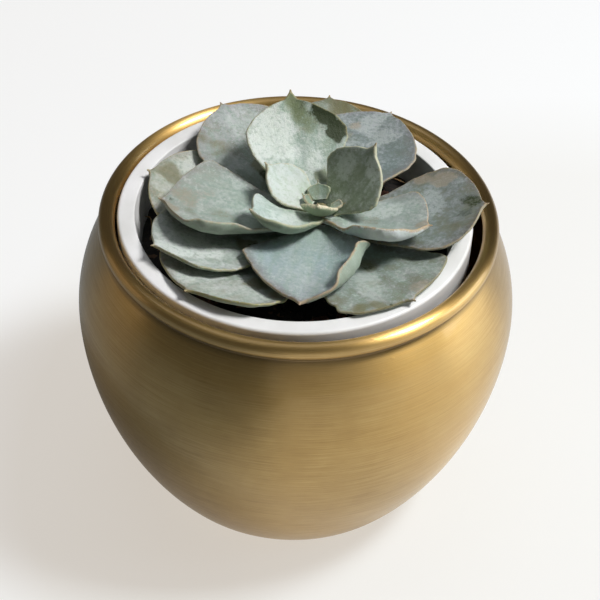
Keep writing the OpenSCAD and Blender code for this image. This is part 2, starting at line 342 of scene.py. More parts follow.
# sizes in millimetres; heart is where the stem stands, and tip is how far the point runs past the blade
leafForm = {"foot": 5, "root": 2.8, "thick": 2.3, "edge": 0.7, "heart": (6, -2), "tip": 1.0,
            "along": 64, "around": 56, "smallWidth": 12, "smallAlong": 30, "smallAround": 32}

# turn is the compass direction, anticlockwise from +X; left and right are as seen from the stem.
# folds: side, where it starts and ends across, where it comes and goes along, and its angle.
# nicks: side, place along, depth and width. marks: kind, place along and across, radius, strength.
leaves = [
    {"turn": 224, "seat": 90.3, "long": 49, "wide": 40, "lift": (4, 17), "cup": (5, 5), "roll": 4,
     "sweep": 4, "blunt": 3.1, "broad": 0.70, "wave": 0.6, "beak": 0.9,
     "nicks": [(-1, 0.93, 1.5, 2.4), (1, 0.9, 0.6, 1.8)], "folds": [(1, 0.7, 1, 0.55, 0.7, 0.95, 1.1, 28)],
     "marks": [("scuff", 0.62, 0.45, 5, 0.9), ("tan", 0.6, 0.78, 3, 1), ("bloom", 0.75, -0.1, 6, 0.9),
               ("tan", 0.9, 0.6, 4, 0.8), ("scuff", 0.85, 0.35, 4, 0.6), ("bloom", 0.88, -0.3, 5, 0.9)],
     "look": {"flesh": "#a6b0ab", "end": "#aeb0a8", "purple": "#8c8480", "rim": "#a59a58", "flush": 0.55,
              "worn": 0.3}},
    {"turn": 161, "seat": 88.2, "long": 50.5, "wide": 31, "lift": (3, 20), "cup": (4, 8), "roll": -6,
     "sweep": 4, "blunt": 2.5, "broad": 0.68, "wave": 0.4, "beak": 1.0,
     "marks": [("scuff", 0.9, -0.1, 6.5, 1), ("scuff", 0.76, 0.15, 5, 0.9), ("bare", 0.87, -0.1, 2.5, 0.6),
               ("bloom", 0.8, -0.5, 4, 0.9), ("scuff", 0.6, -0.2, 5, 0.7)],
     "look": {"flesh": "#abb3a6", "end": "#b3b19f", "rim": "#b8a777", "rimmed": 0.8, "worn": 0.5,
              "faded": 0.5}},
    {"turn": 87, "seat": 89.4, "long": 53, "wide": 31, "lift": (7, 12), "cup": (6, 8), "roll": 0,
     "sweep": 3, "blunt": 2.0, "broad": 0.65, "wave": 0.5, "beak": 1.4,
     "marks": [("scuff", 0.9, -0.2, 7, 1), ("scuff", 0.7, 0.2, 7, 0.9), ("tan", 0.85, 0.4, 4, 0.7)],
     "look": {"flesh": "#6b7053", "end": "#6e6c50", "purple": "#6f6a56", "worn": 0.6, "wax": 0.25,
              "dusty": 0.12}},
    {"turn": 303, "seat": 90.9, "long": 41.5, "wide": 38, "lift": (6, 14), "cup": (8, 9), "roll": 0,
     "sweep": 7, "blunt": 2.2, "broad": 0.76, "wave": 0.6,
     "nicks": [(-1, 0.84, 0.9, 1.5), (-1, 0.92, 0.8, 1.1), (-1, 0.74, 0.5, 1.2)],
     "marks": [("bare", 0.5, 0.05, 3, 0.6), ("scuff", 0.45, 0.0, 5, 0.8), ("scuff", 0.94, -0.45, 4.5, 1),
               ("scuff", 0.86, -0.75, 4.5, 1), ("bare", 0.95, -0.35, 2.2, 0.55), ("tan", 0.9, 0.3, 5, 0.8),
               ("bloom", 0.7, -0.2, 6, 0.9)],
     "look": {"heart": "#82938a", "flesh": "#8a9893", "end": "#7b7d75", "wax": 0.3, "purple": "#77736a",
              "flush": 0.65, "worn": 0.45, "rim": "#8d8259"}},
    {"turn": 1, "seat": 93.2, "long": 45, "wide": 35, "lift": (5, 24), "cup": (14, 13), "roll": 0,
     "sweep": -4, "blunt": 1.9, "broad": 0.73, "wave": 0.4, "beak": 1.2,
     "nicks": [(-1, 0.8, 0.9, 2), (-1, 0.88, 0.7, 1.2), (-1, 0.7, 0.4, 1.4)],
     "marks": [("bare", 0.9, 0.15, 4.5, 0.5), ("bare", 0.84, -0.15, 4, 0.42), ("scuff", 0.8, -0.4, 5, 0.6),
               ("tan", 0.73, 0.75, 5, 1), ("tan", 0.6, 0.85, 4, 0.9), ("bare", 0.9, -0.8, 4, 0.6),
               ("bare", 0.8, -0.92, 3, 0.6), ("bloom", 0.6, 0.2, 6, 0.8)],
     "look": {"heart": "#738076", "flesh": "#82908c", "end": "#777b7a", "grey": "#85868a",
              "purple": "#6c6560", "flush": 0.75, "powder": "#a9b2b1", "worn": 0.4, "rim": "#9c8a68",
              "vein": "#6a776f", "wax": 0.6}},
    {"turn": 202, "seat": 92.9, "long": 48, "wide": 31, "lift": (3, 17), "cup": (10, 6), "roll": 2,
     "sweep": 6, "blunt": 2.5, "broad": 0.69, "wave": 0.5, "beak": 0.9,
     "nicks": [(1, 0.93, 1.2, 2), (1, 0.8, 0.5, 1.6)], "folds": [(1, 0.75, 1, 0.6, 0.75, 0.95, 1.1, 25)],
     "marks": [("scuff", 0.45, 0.25, 4.5, 1), ("bare", 0.4, 0.35, 2.6, 0.6), ("bloom", 0.85, 0.1, 7, 1),
               ("bloom", 0.7, 0.5, 5, 0.8)],
     "look": {"flesh": "#b0bab5", "end": "#b9bfba", "rim": "#a59c6e", "flush": 0.3, "wax": 0.7,
              "worn": 0.2}},
    {"turn": 127, "seat": 91.8, "long": 51, "wide": 33.5, "lift": (8, 17), "cup": (12, 3), "roll": -2,
     "sweep": -3, "blunt": 2.2, "broad": 0.62, "wave": 0.4,
     "marks": [("scuff", 0.76, 0.6, 5.5, 0.85), ("scuff", 0.5, 0.05, 5, 0.9), ("bare", 0.45, 0.2, 3.2, 0.6),
               ("bloom", 0.82, -0.2, 6, 1.1), ("bloom", 0.62, 0.55, 4.5, 1.2), ("bloom", 0.7, -0.5, 5, 0.9),
               ("tan", 0.9, 0.5, 4, 0.7)],
     "look": {"heart": "#6d7a66", "flesh": "#87938a", "end": "#a2a4a4", "grey": "#98989c", "wax": 0.3,
              "flush": 0.6, "worn": 0.35, "faded": 0.5}},
    {"turn": 72, "seat": 94.9, "long": 48, "wide": 34, "lift": (6, 5), "cup": (16, 16), "roll": 0,
     "sweep": -11, "blunt": 1.4, "broad": 0.64, "wave": 0.4,
     "marks": [("bloom", 0.86, 0.1, 6, 1.3), ("bloom", 0.74, -0.2, 4.5, 1.2), ("tan", 0.77, 0.35, 3, 1),
               ("tan", 0.62, 0.35, 3.5, 0.8), ("bloom", 0.6, 0.2, 4, 0.8)],
     "look": {"heart": "#55645f", "flesh": "#6a7a79", "end": "#78807f", "grey": "#83868c",
              "purple": "#79757a", "flush": 0.5, "powder": "#b3bab9", "vein": "#65736f", "worn": 0.15,
              "rim": "#a39273", "rimmed": 0.75}},
    {"turn": 193, "seat": 95.8, "long": 43, "wide": 40, "lift": (4, 15), "cup": (45, 20), "roll": 4,
     "sweep": -20, "blunt": 1.4, "broad": 0.72, "wave": 0.3,
     "folds": [(1, 0.72, 1, 0.42, 0.55, 0.74, 0.84, 55)],
     "marks": [("tan", 0.86, -0.1, 6.5, 0.75), ("tan", 0.72, -0.3, 6, 0.6), ("scuff", 0.6, 0.1, 6, 0.6),
               ("tan", 0.94, 0.2, 5, 0.95), ("scuff", 0.78, 0.2, 5, 0.6), ("bloom", 0.58, 0.7, 5, 1.2),
               ("bare", 0.93, -0.05, 2, 0.45)],
     "look": {"heart": "#c3d0c8", "flesh": "#a6b6ae", "end": "#90918b", "purple": "#85807e", "flush": 0.6,
              "rim": "#a8987c"}},
    {"turn": 267, "seat": 95.0, "long": 38.5, "wide": 38.5, "lift": (5, 10), "cup": (50, 8), "roll": -4,
     "sweep": -8, "blunt": 1.4, "broad": 0.53, "wave": 0.4,
     "folds": [(1, 0.5, 0.9, 0.36, 0.5, 0.76, 0.9, 68)],
     "marks": [("bloom", 0.55, -0.1, 9, 0.3), ("bloom", 0.97, 0.1, 2.5, 1.5), ("tan", 0.7, 0.8, 4, 0.6)],
     "look": {"heart": "#a3b4ac", "flesh": "#9aadb1", "end": "#969fa2", "wax": 0.25, "purple": "#7c7879",
              "flush": 0.85, "rim": "#a8967a", "rimmed": 0.85, "faded": 0.2, "worn": 0.0, "dusty": 0.2}},
    {"turn": 115, "seat": 97.2, "long": 36.5, "wide": 30.5, "lift": (18, 46), "cup": (22, 21), "roll": 1,
     "sweep": -17, "blunt": 1.5, "broad": 0.65, "wave": 0.5, "beak": 2.2, "nicks": [(-1, 0.86, 0.9, 2)],
     "marks": [("bare", 0.8, -0.62, 5.5, 0.95), ("bare", 0.66, -0.85, 4.5, 0.9),
               ("scuff", 0.86, -0.05, 7, 0.95), ("scuff", 0.72, -0.3, 6, 0.7), ("bloom", 0.6, 0.5, 9, 1.4),
               ("bloom", 0.4, -0.25, 5.5, 1.1), ("bloom", 0.8, 0.55, 5, 1),
               ("scuff", 0.28, -0.35, 3.6, 0.95), ("bare", 0.9, -0.25, 3.5, 0.4)],
     "look": {"heart": "#a7b7aa", "flesh": "#a6b5ab", "end": "#8a9780", "powder": "#dfe4df",
              "olive": "#5f6a3a", "flush": 0.15, "worn": 0.3, "rim": "#9b9268"}},
    {"turn": 330, "seat": 97.5, "long": 31, "wide": 29, "lift": (9, 22), "cup": (15, 48), "roll": -2,
     "sweep": 15, "blunt": 2.2, "broad": 0.68, "wave": 0.3, "beak": 1.0,
     "folds": [(-1, 0.62, 1, 0.28, 0.42, 0.86, 0.96, 55)],
     "marks": [("bloom", 0.6, -0.75, 6, 1.4), ("bloom", 0.8, -0.75, 5, 1.3), ("tan", 0.96, 0.0, 4, 0.95),
               ("scuff", 0.42, 0.1, 4.5, 0.6), ("bloom", 0.5, 0.4, 5, 0.8)],
     "look": {"flesh": "#a8b6b3", "end": "#9ba29e", "flush": 0.5, "rim": "#a98f6a", "rimmed": 0.8,
              "under": "#d5dedb"}},
    # on this leaf the dark green underside tint is painted shade on the outer face under its curled margin
    {"turn": 232, "seat": 98.2, "long": 24, "wide": 20, "lift": (12, 42), "cup": (37, 9), "roll": 0,
     "sweep": -40, "blunt": 2.5, "broad": 0.70, "wave": 0.2, "beak": 1.0,
     "folds": [(1, 0.5, 1, 0.1, 0.3, 0.85, 0.98, 42)],
     "marks": [("scuff", 0.3, 0.82, 3, 0.8), ("scuff", 0.5, 0.85, 3, 0.8), ("scuff", 0.7, 0.85, 3, 0.7),
               ("bloom", 0.6, 0.0, 6, 1.1)],
     "look": {"heart": "#a9bb9f", "flesh": "#bdcbc4", "end": "#bccbc6", "flush": 0.05, "under": "#7f8f70",
              "rim": "#b3ad8c", "worn": 0.1}},
    {"turn": 23, "seat": 98.6, "long": 23, "wide": 24, "lift": (43, 67), "cup": (18, 5), "roll": 6,
     "sweep": 8, "blunt": 1.4, "broad": 0.48, "wave": 0.3, "beak": 2.2,
     "marks": [("scuff", 0.96, 0.3, 3.5, 1), ("scuff", 0.6, 0.0, 5, 0.55), ("bloom", 0.5, 0.45, 5, 0.7),
               ("bloom", 0.75, -0.3, 4, 0.6)],
     "look": {"heart": "#7c8c70", "flesh": "#84927f", "end": "#87938a", "olive": "#5d6a3c",
              "powder": "#b5c0b6", "flush": 0.1, "rim": "#c6c2a4", "rimmed": 0.7, "vein": "#6a785f"}},
    {"turn": 156, "seat": 99.4, "long": 17.5, "wide": 15, "lift": (22, 42), "cup": (14, 24), "roll": -2,
     "sweep": -4, "blunt": 1.5, "broad": 0.50, "wave": 0.2, "beak": 1.8,
     "marks": [("tan", 1.0, -0.1, 2.6, 0.8), ("bloom", 0.5, 0.1, 6, 1.2)],
     "look": {"heart": "#b5c6ae", "flesh": "#c4d0ca", "end": "#c6d2cf", "vein": "#a3b49f", "flush": 0.05,
              "rim": "#bfb28e", "worn": 0.05}},
    {"turn": 100, "seat": 100.4, "long": 5, "wide": 7, "lift": (35, 55), "cup": (30, 30), "roll": 0,
     "sweep": 0, "blunt": 1.8, "broad": 0.60, "wave": 0.1,
     "look": {"heart": "#64735a", "flesh": "#76856c", "end": "#7f8d78", "flush": 0.0, "worn": 0.0,
              "wax": 0.15, "dusty": 0.05, "rim": "#b9b795", "rimmed": 0.5}},
    {"turn": 262, "seat": 100.2, "long": 8, "wide": 11, "lift": (42, 70), "cup": (34, 34), "roll": 0,
     "sweep": 0, "blunt": 1.05, "broad": 0.3, "wave": 0.1, "beak": 1.8,
     "look": {"heart": "#55663a", "flesh": "#586848", "end": "#6f7f5c", "flush": 0.0, "worn": 0.0,
              "wax": 0.05, "dusty": 0.05, "under": "#9aa787", "rim": "#d8cfb2", "rimmed": 1.0}},
    {"turn": 348, "seat": 100.6, "long": 4, "wide": 4.5, "lift": (20, 40), "cup": (40, 40), "roll": 0,
     "sweep": 0, "blunt": 1.5, "broad": 0.60, "wave": 0,
     "look": {"heart": "#7e8e66", "flesh": "#8b9a7c", "end": "#93a08a", "flush": 0.0, "worn": 0.0}},
    {"turn": 172, "seat": 100.7, "long": 3.5, "wide": 4, "lift": (40, 60), "cup": (40, 40), "roll": 0,
     "sweep": 0, "blunt": 1.5, "broad": 0.60, "wave": 0,
     "look": {"heart": "#7e8e66", "flesh": "#8b9a7c", "end": "#93a08a", "flush": 0.0, "worn": 0.0}},
]


markKinds = ("bloom", "scuff", "bare", "tan")  # fresh wax, rubbed olive, worn to dark flesh, dried brown


def ease(value, low, high):
    part = np.clip((value - low) / (high - low), 0, 1)
    return part * part * (3 - 2 * part)


def halfWidth(leaf, t, side):
    foot, full = min(leafForm["foot"], leaf["wide"] * 0.6) / 2, leaf["wide"] / 2
    rise = foot + (full - foot) * np.sin(np.radians(90) * np.minimum(t / leaf["broad"], 1) ** 1.3)
    beak = leaf.get("beak", 1.3) * min(1, leaf["wide"] / 20)
    past = np.clip((t - leaf["broad"]) / (1 - beak / leaf["long"] - leaf["broad"]), 0, 1)
    half = np.where(t <= leaf["broad"], rise, full * np.maximum(0, 1 - past ** leaf["blunt"]) ** (1 / 1.7))
    point = 0.4 + 3.1 * np.clip((1 - t) * leaf["long"] / (beak * 1.7), 0, 1) ** 1.15
    point = point * min(1, leaf["wide"] / 20)
    half = (half ** 3 + point ** 3) ** (1 / 3)
    half *= (1 + 0.012 * np.sin(23 * t + leaf["turn"] + side)
             + 0.008 * np.sin(61 * t + 2 * leaf["turn"] - side))
    for nickSide, place, depth, width in leaf.get("nicks", ()):
        if nickSide == side:
            half = half - depth * np.exp(-((t - place) * leaf["long"] / width) ** 2)
    beyond = np.maximum(0, t - 1) * leaf["long"] / leafForm["tip"]
    return np.where(t > 1, half * (1 - beyond) ** 0.7 + 0.02, half)


def curlAngle(leaf, t, across, side):
    # how far the blade has turned up at that share of its half width, in degrees
    cup = max(1, leaf["cup"][0] if side > 0 else leaf["cup"][1])
    angle = cup * across * np.ones_like(t)
    for foldSide, start, end, come, full, leave, gone, turn in leaf.get("folds", ()):
        if foldSide == side:
            held = ease(t, come, full) * (1 - ease(t, leave, gone))
            angle = angle + turn * ease(across, start, end) * held
    return np.radians(angle)


def leafGrid(leaf, t, theta):
    # surface points for each place along the midrib and each angle round the section, in millimetres
    fine = np.linspace(0, 1 + leafForm["tip"] / leaf["long"], 241)
    share = np.minimum(fine, 1)
    lift = np.radians(leaf["lift"][0] + (leaf["lift"][1] - leaf["lift"][0]) * fine)
    bend = np.radians(leaf["sweep"] * fine)
    heading = np.stack([np.cos(lift) * np.cos(bend), np.cos(lift) * np.sin(bend), np.sin(lift)], 1)
    steps = (heading[1:] + heading[:-1]) / 2 * np.diff(fine)[:, None] * leaf["long"]
    rib = np.vstack([[leafForm["root"], 0, 0], np.array([leafForm["root"], 0, 0]) + np.cumsum(steps, 0)])
    middle, along = (np.stack([np.interp(t, fine, line[:, k]) for k in range(3)], 1)
                     for line in (rib, heading))
    along /= np.linalg.norm(along, axis=1)[:, None]
    turn = np.radians(leaf["sweep"] * t)
    flatSide = np.stack([-np.sin(turn), np.cos(turn), 0 * turn], 1)
    flatUp = np.cross(along, flatSide)
    tilt = np.radians(leaf["roll"] * np.minimum(1, t / 0.4))[:, None]
    side = flatSide * np.cos(tilt) + flatUp * np.sin(tilt)
    up = flatUp * np.cos(tilt) - flatSide * np.sin(tilt)
    s = np.cos(theta)
    out, high, lean = (np.zeros((len(t), len(s))) for _ in range(3))
    grid = np.linspace(0, 1, 65)
    halves = np.zeros((len(t), len(s)))
    for sign in (1, -1):
        half = halfWidth(leaf, t, sign)
        angle = curlAngle(leaf, t[:, None], grid[None, :], sign)
        sumOut, sumHigh = (np.concatenate([
            np.zeros((len(t), 1)), np.cumsum((step[:, 1:] + step[:, :-1]) / 2, 1) / (len(grid) - 1)], 1)
            for step in (np.cos(angle), np.sin(angle)))
        pick = (s >= 0) if sign > 0 else (s < 0)
        for i in range(len(t)):
            a = np.abs(s[pick])
            ripple = (leaf["wave"] * a ** 1.5 * min(1, half[i] / 6)
                      * math.sin(math.radians(620 * t[i] + (0 if sign > 0 else 150) + leaf["turn"])))
            out[i, pick] = sign * half[i] * np.interp(a, grid, sumOut[i])
            high[i, pick] = half[i] * np.interp(a, grid, sumHigh[i]) + ripple
            lean[i, pick] = sign * np.interp(a, grid, angle[i])
            halves[i, pick] = half[i]
    body = min(leafForm["thick"], leaf["wide"] * 0.16) - leafForm["edge"]
    near = np.minimum(t, 1)[:, None]
    thick = leafForm["edge"] + body * np.maximum(0, 1 - s ** 2)[None, :] ** 0.8 * np.sqrt(1 - near ** 6)
    thick = np.where(t[:, None] > 1, 0.5, thick)
    toEdge = (1 - np.abs(s))[None, :] * halves  # millimetres in from the margin
    soft = np.minimum(1, toEdge / 0.35)
    thick = thick * np.sqrt(np.clip(1 - (1 - soft) ** 2, 0, 1))
    crease = (0.35 * np.exp(-(s[None, :] * halves / 1.6) ** 2)
              * (ease(t, 0.05, 0.3) * (1 - ease(t, 0.8, 1.0)))[:, None])
    top = (np.sin(theta) >= 0)[None, :]
    offset = np.where(top, 0.4 * thick - crease * min(1, leaf["wide"] / 25), -0.6 * thick - 0.5 * crease)
    shape = (middle[:, None, :] + side[:, None, :] * (out - np.sin(lean) * offset)[:, :, None]
             + up[:, None, :] * (high + np.cos(lean) * offset)[:, :, None])
    return shape, toEdge, np.where(top, 1.0, 0.0) * np.ones((len(t), 1)), s[None, :] * halves


def placeLeaf(leaf, points):
    spin = math.radians(leaf["turn"])
    x, y, z = points[..., 0], points[..., 1], points[..., 2]
    return np.stack([leafForm["heart"][0] + x * math.cos(spin) - y * math.sin(spin),
                     leafForm["heart"][1] + x * math.sin(spin) + y * math.cos(spin), leaf["seat"] + z], -1)


def makeLeaf(number, leaf, material):
    small = leaf["wide"] < leafForm["smallWidth"]
    rows, ring = ((leafForm["smallAlong"], leafForm["smallAround"]) if small
                  else (leafForm["along"], leafForm["around"]))
    t = 1 - (1 - np.linspace(0, 1, rows)) ** 1.5
    t = np.concatenate([t, 1 + np.array([0.25, 0.5, 0.75, 1.0]) * leafForm["tip"] / leaf["long"]])
    theta = np.arange(ring) / ring * math.tau
    shape, toEdge, isTop, acrossMm = leafGrid(leaf, t, theta)
    shape = placeLeaf(leaf, shape)
    pickNothing()
    bpy.ops.mesh.primitive_grid_add(x_subdivisions=len(t) - 1, y_subdivisions=ring, size=0.04,
                                    location=[part * mm for part in (*leafForm["heart"], leaf["seat"])])
    piece = bpy.context.object
    bpy.ops.object.transform_apply(location=True)
    mesh = piece.data
    # the grid runs along the leaf in X and round its section in Y, whose two ends meet at one margin
    flat = vertexPlaces(piece)
    row = np.rint((flat[:, 0] - flat[:, 0].min()) / np.ptp(flat[:, 0]) * (len(t) - 1)).astype(int)
    turnStep = np.rint((flat[:, 1] - flat[:, 1].min()) / np.ptp(flat[:, 1]) * ring).astype(int) % ring
    place = shape[row, turnStep]
    bumpy = 0.16 * cloud(place * mm, 0.0055, number) + 0.07 * cloud(place * mm, 0.0022, number + 40)
    drift = 0 * place
    drift[:, 2] = bumpy * np.minimum(1, toEdge[row, turnStep] / 3) * min(1, leaf["wide"] / 20)
    mesh.vertices.foreach_set("co", ((place + drift) * mm).ravel())
    painted = {"fromEdge": toEdge[row, turnStep], "upperFace": isTop[row, turnStep],
               "acrossMm": acrossMm[row, turnStep], "alongMm": t[row] * leaf["long"], "alongShare": t[row]}
    for kind in markKinds:
        painted[kind] = np.zeros(len(row))
        for markKind, along, across, radius, strength in leaf.get("marks", ()):
            if markKind == kind:
                gap = np.hypot((t[row] - along) * leaf["long"] * 0.8,
                               painted["acrossMm"] - across * leaf["wide"] / 2)
                gap = gap + radius * (0.45 * cloud(place * mm, radius * mm * 0.9, number)
                                      + 0.25 * cloud(place * mm, radius * mm * 0.4, 7))
                painted[kind] = np.maximum(painted[kind], strength * (1 - ease(gap, radius * 0.2, radius)))
        painted[kind] = painted[kind] * painted["upperFace"]
    for name, values in painted.items():
        layer = mesh.attributes.new(name, "FLOAT", "POINT")
        layer.data.foreach_set("value", values.astype(np.float32))
    bpy.ops.object.mode_set(mode="EDIT")
    bpy.ops.mesh.select_all(action="SELECT")
    bpy.ops.mesh.remove_doubles(threshold=2e-6)
    bpy.ops.mesh.select_all(action="DESELECT")
    bpy.ops.mesh.select_non_manifold()
    bpy.ops.mesh.edge_face_add()
    bpy.ops.mesh.select_all(action="SELECT")
    bpy.ops.mesh.normals_make_consistent(inside=False)
    bpy.ops.object.mode_set(mode="OBJECT")
    smooth(piece, 60)
    dress(piece, f"leaf{number:02d}Blade", material, "planter", [f"leaf_{number:02d}"])

# Echeveria skin: thick blue-green flesh under a white wax bloom that rubs off in patches,
# with a thin tan margin, a purple-grey flush inside it and olive scuffs where it has been touched
leafSkin = {"grain": 0.42, "speck": 1.1, "patch": 6.5, "streak": (0.07, 0.5, 1),  # in mm
            "roughness": (0.48, 0.66)}

# the tints of a plain leaf, and how strong each layer is on it
plainLook = {"heart": "#a9bda9", "flesh": "#9fb0a8", "end": "#9ba8a3", "vein": "#8a9f94", "grey": "#a2a6a3",
             "purple": "#8f8a8c", "dark": "#27330c", "olive": "#6b6844", "rim": "#b39f7f",
             "powder": "#d3dad6", "spot": "#958a76", "under": "#8f9c86", "point": "#a88a66",
             "faded": 0.35, "flush": 0.4, "wax": 0.5, "rimmed": 0.6, "worn": 0.15, "dusty": 0.16}


def makeLeafSkin(name, look):
    material, tree, shader, place = startMaterial(name)
    value = {key: addNode(tree, "Attribute", {"attribute_name": key}).outputs["Fac"]
             for key in ("fromEdge", "upperFace", "acrossMm", "alongMm", "alongShare", *markKinds)}
    for key in ("grain", "speck", "patch"):
        value[key] = addNode(tree, "TexNoise", inputs={
            "Vector": place, "Scale": 1 / (leafSkin[key] * mm), "Detail": 4.0, "Roughness": 0.62})
    flat = addNode(tree, "CombineXYZ", inputs={"X": value["alongMm"], "Y": value["acrossMm"]})
    drawn = addNode(tree, "VectorMath", {"operation": "MULTIPLY"}, {0: flat, 1: leafSkin["streak"]})
    value["streak"] = addNode(tree, "TexNoise", inputs={
        "Vector": drawn, "Scale": 1.0, "Detail": 3.0})
    sums = [  # each new value, how it is made, and what from
        ("speck6", "MULTIPLY", "speck", 0.6), ("grain4", "MULTIPLY", "grain", 0.4),
        ("fine", "ADD", "speck6", "grain4"), ("patch6", "MULTIPLY", "patch", 0.6),
        ("speck4", "MULTIPLY", "speck", 0.4),
        ("cloudy", "ADD", "patch6", "speck4"), ("fineOff", "SUBTRACT", "fine", 0.5),
        ("edgeFine", "MULTIPLY", "fineOff", 3.2), ("ragged", "ADD", "fromEdge", "edgeFine"),
        ("cloudOff", "SUBTRACT", "cloudy", 0.5), ("edgeWide", "MULTIPLY", "cloudOff", 12.0),
        ("broad", "ADD", "fromEdge", "edgeWide"), ("broadCut", "SUBTRACT", "broad", "upperFace"),
        ("below", "SUBTRACT", 1.0, "upperFace"), ("lower", "MULTIPLY", "below", 30.0),
        ("flushed", "ADD", "broadCut", "lower"), ("bareFine", "ADD", "fine", "bare"),
        ("scuff8", "MULTIPLY", "scuff", 0.8), ("scuffFine", "ADD", "fine", "scuff8"),
        ("tan9", "MULTIPLY", "tan", 0.9), ("tanFine", "ADD", "fine", "tan9"),
        ("bloom4", "MULTIPLY", "bloom", 0.4), ("waxed", "ADD", "cloudy", "bloom4"),
        ("streak5", "MULTIPLY", "streak", 0.5), ("height", "ADD", "streak5", "fine")]
    for key, sign, a, b in sums:
        value[key] = addNode(tree, "Math", {"operation": sign},
                             {0: value.get(a, a), 1: value.get(b, b)})
    color = addNode(tree, "ValToRGB", {"stops": [
        (0.05, look["heart"]), (0.45, look["flesh"]), (0.97, look["end"])]},
        {"Fac": value["alongShare"]})
    layers = [  # what drives each layer, where it starts and is full, its strength and tint
        ("streak", 0.42, 0.62, 0.5, "vein"), ("cloudy", 0.46, 0.64, look["faded"], "grey"),
        ("flushed", 3.4, -0.6, look["flush"], "purple"), ("cloudy", 0.50, 0.42, look["worn"], "olive"),
        ("waxed", 0.5, 0.72, look["wax"], "powder"), ("fine", 0.53, 0.62, look["dusty"], "powder"),
        ("fine", 0.49, 0.38, 0.6, "vein"), ("scuffFine", 0.84, 1.16, 0.7, "olive"),
        ("tanFine", 0.9, 1.25, 0.6, "spot"), ("bareFine", 0.84, 1.06, 0.95, "dark"),
        # the underside tint is each leaf's own, except on leaf 13, where it is painted shade
        ("below", 0.0, 1.0, 0.75, "under"), ("ragged", 0.62, 0.05, look["rimmed"], "rim"),
        ("alongShare", 0.985, 1.02, 0.6, "point")]
    for driver, low, high, depth, tint in layers:
        strength = addNode(tree, "MapRange", inputs={
            0: value[driver], 1: low, 2: high, 3: 0.0, 4: depth})
        color = addNode(tree, "Mix", {"data_type": "RGBA"},
                        {0: strength, 6: color, 7: look[tint]}).outputs[2]
    rough = addNode(tree, "MapRange", inputs={
        0: value["fine"], 1: 0.35, 2: 0.65, 3: leafSkin["roughness"][0], 4: leafSkin["roughness"][1]})
    bump = addNode(tree, "Bump", inputs={
        "Strength": 0.75, "Distance": 0.00035, "Height": value["height"]})
    setInputs(tree, shader, {
        "Base Color": color, "Roughness": rough, "Subsurface Weight": 0.12,
        "Subsurface Radius": (0.6, 1.0, 0.5), "Subsurface Scale": 0.0015, "Normal": bump})
    return material


for number, leaf in enumerate(leaves, 1):
    makeLeaf(number, leaf, makeLeafSkin(f"waxyLeafSkin{number:02d}", {**plainLook, **leaf.get("look", {})}))
print("leaves grown")

growPot = {"width": 0.1012, "lip": 0.0050, "band": 0.011, "wall": 0.0024, "foot": 0.064, "floor": 0.0021,
           "top": 0.0958, "shift": (-0.0011, 0.0006), "drain": 0.010, "round": 0.0009, "soilDrop": 0.0105,
           "facets": 144}


def growOutline():
    # up the outside, over the lip, down the inside
    g = growPot
    r, top, inner, foot = g["width"] / 2, g["top"], g["width"] / 2 - g["lip"], g["foot"] / 2
    shoulder, heel = top - g["band"], g["floor"] + 0.001
    line = [(x, g["floor"]) for x in (0, 0.008, 0.016, 0.024)]
    line += [(foot - 0.001 + 0.001 * math.sin(a), heel - 0.001 * math.cos(a))
             for a in np.linspace(0, 1.35, 6)]
    line += [(foot + (r - 0.0022 - foot) * k, heel + (shoulder - 0.0012 - heel) * k)
             for k in np.linspace(0.03, 1, 24)]
    line += [(r - 0.0005, shoulder), (r - 0.0001, shoulder + 0.0004), (r, shoulder + 0.001),
             (r, top - 0.004)]
    edge, inEdge = g["round"], g["round"] * 0.5
    line += [(r - edge + edge * math.cos(a), top - edge + edge * math.sin(a))
             for a in np.linspace(0.1, math.pi / 2, 9)]
    line += [(inner + inEdge - inEdge * math.sin(a), top - inEdge + inEdge * math.cos(a))
             for a in np.linspace(0, math.pi / 2, 7)]
    low = (foot - g["wall"], g["floor"] + g["wall"])
    line += [(inner + (low[0] - inner) * k, top - inEdge + (low[1] - top + inEdge) * k)
             for k in np.linspace(0.04, 0.97, 22)]
    line += [(x, low[1]) for x in (low[0] - 0.001, 0.024, 0.016, 0.008, 0)]
    return line


def innerRadius(z):
    g = growPot
    low = (g["foot"] / 2 - g["wall"], g["floor"] + g["wall"])
    top = g["width"] / 2 - g["lip"]
    return low[0] + (top - low[0]) * (z - low[1]) / (g["top"] - low[1])


def cutHoles(piece, places):
    for x, y, radius in places:
        pickNothing()
        bpy.ops.mesh.primitive_cylinder_add(vertices=40, radius=radius, depth=0.008, location=(
            growPot["shift"][0] + x, growPot["shift"][1] + y, growPot["floor"]))
        drill = bpy.context.object
        bpy.ops.object.transform_apply(location=True)
        pickOnly(piece)
        cut = piece.modifiers.new("drainHole", "BOOLEAN")
        cut.operation, cut.object, cut.solver = "DIFFERENCE", drill, "EXACT"
        bpy.ops.object.modifier_apply(modifier=cut.name)
        bpy.data.objects.remove(drill)


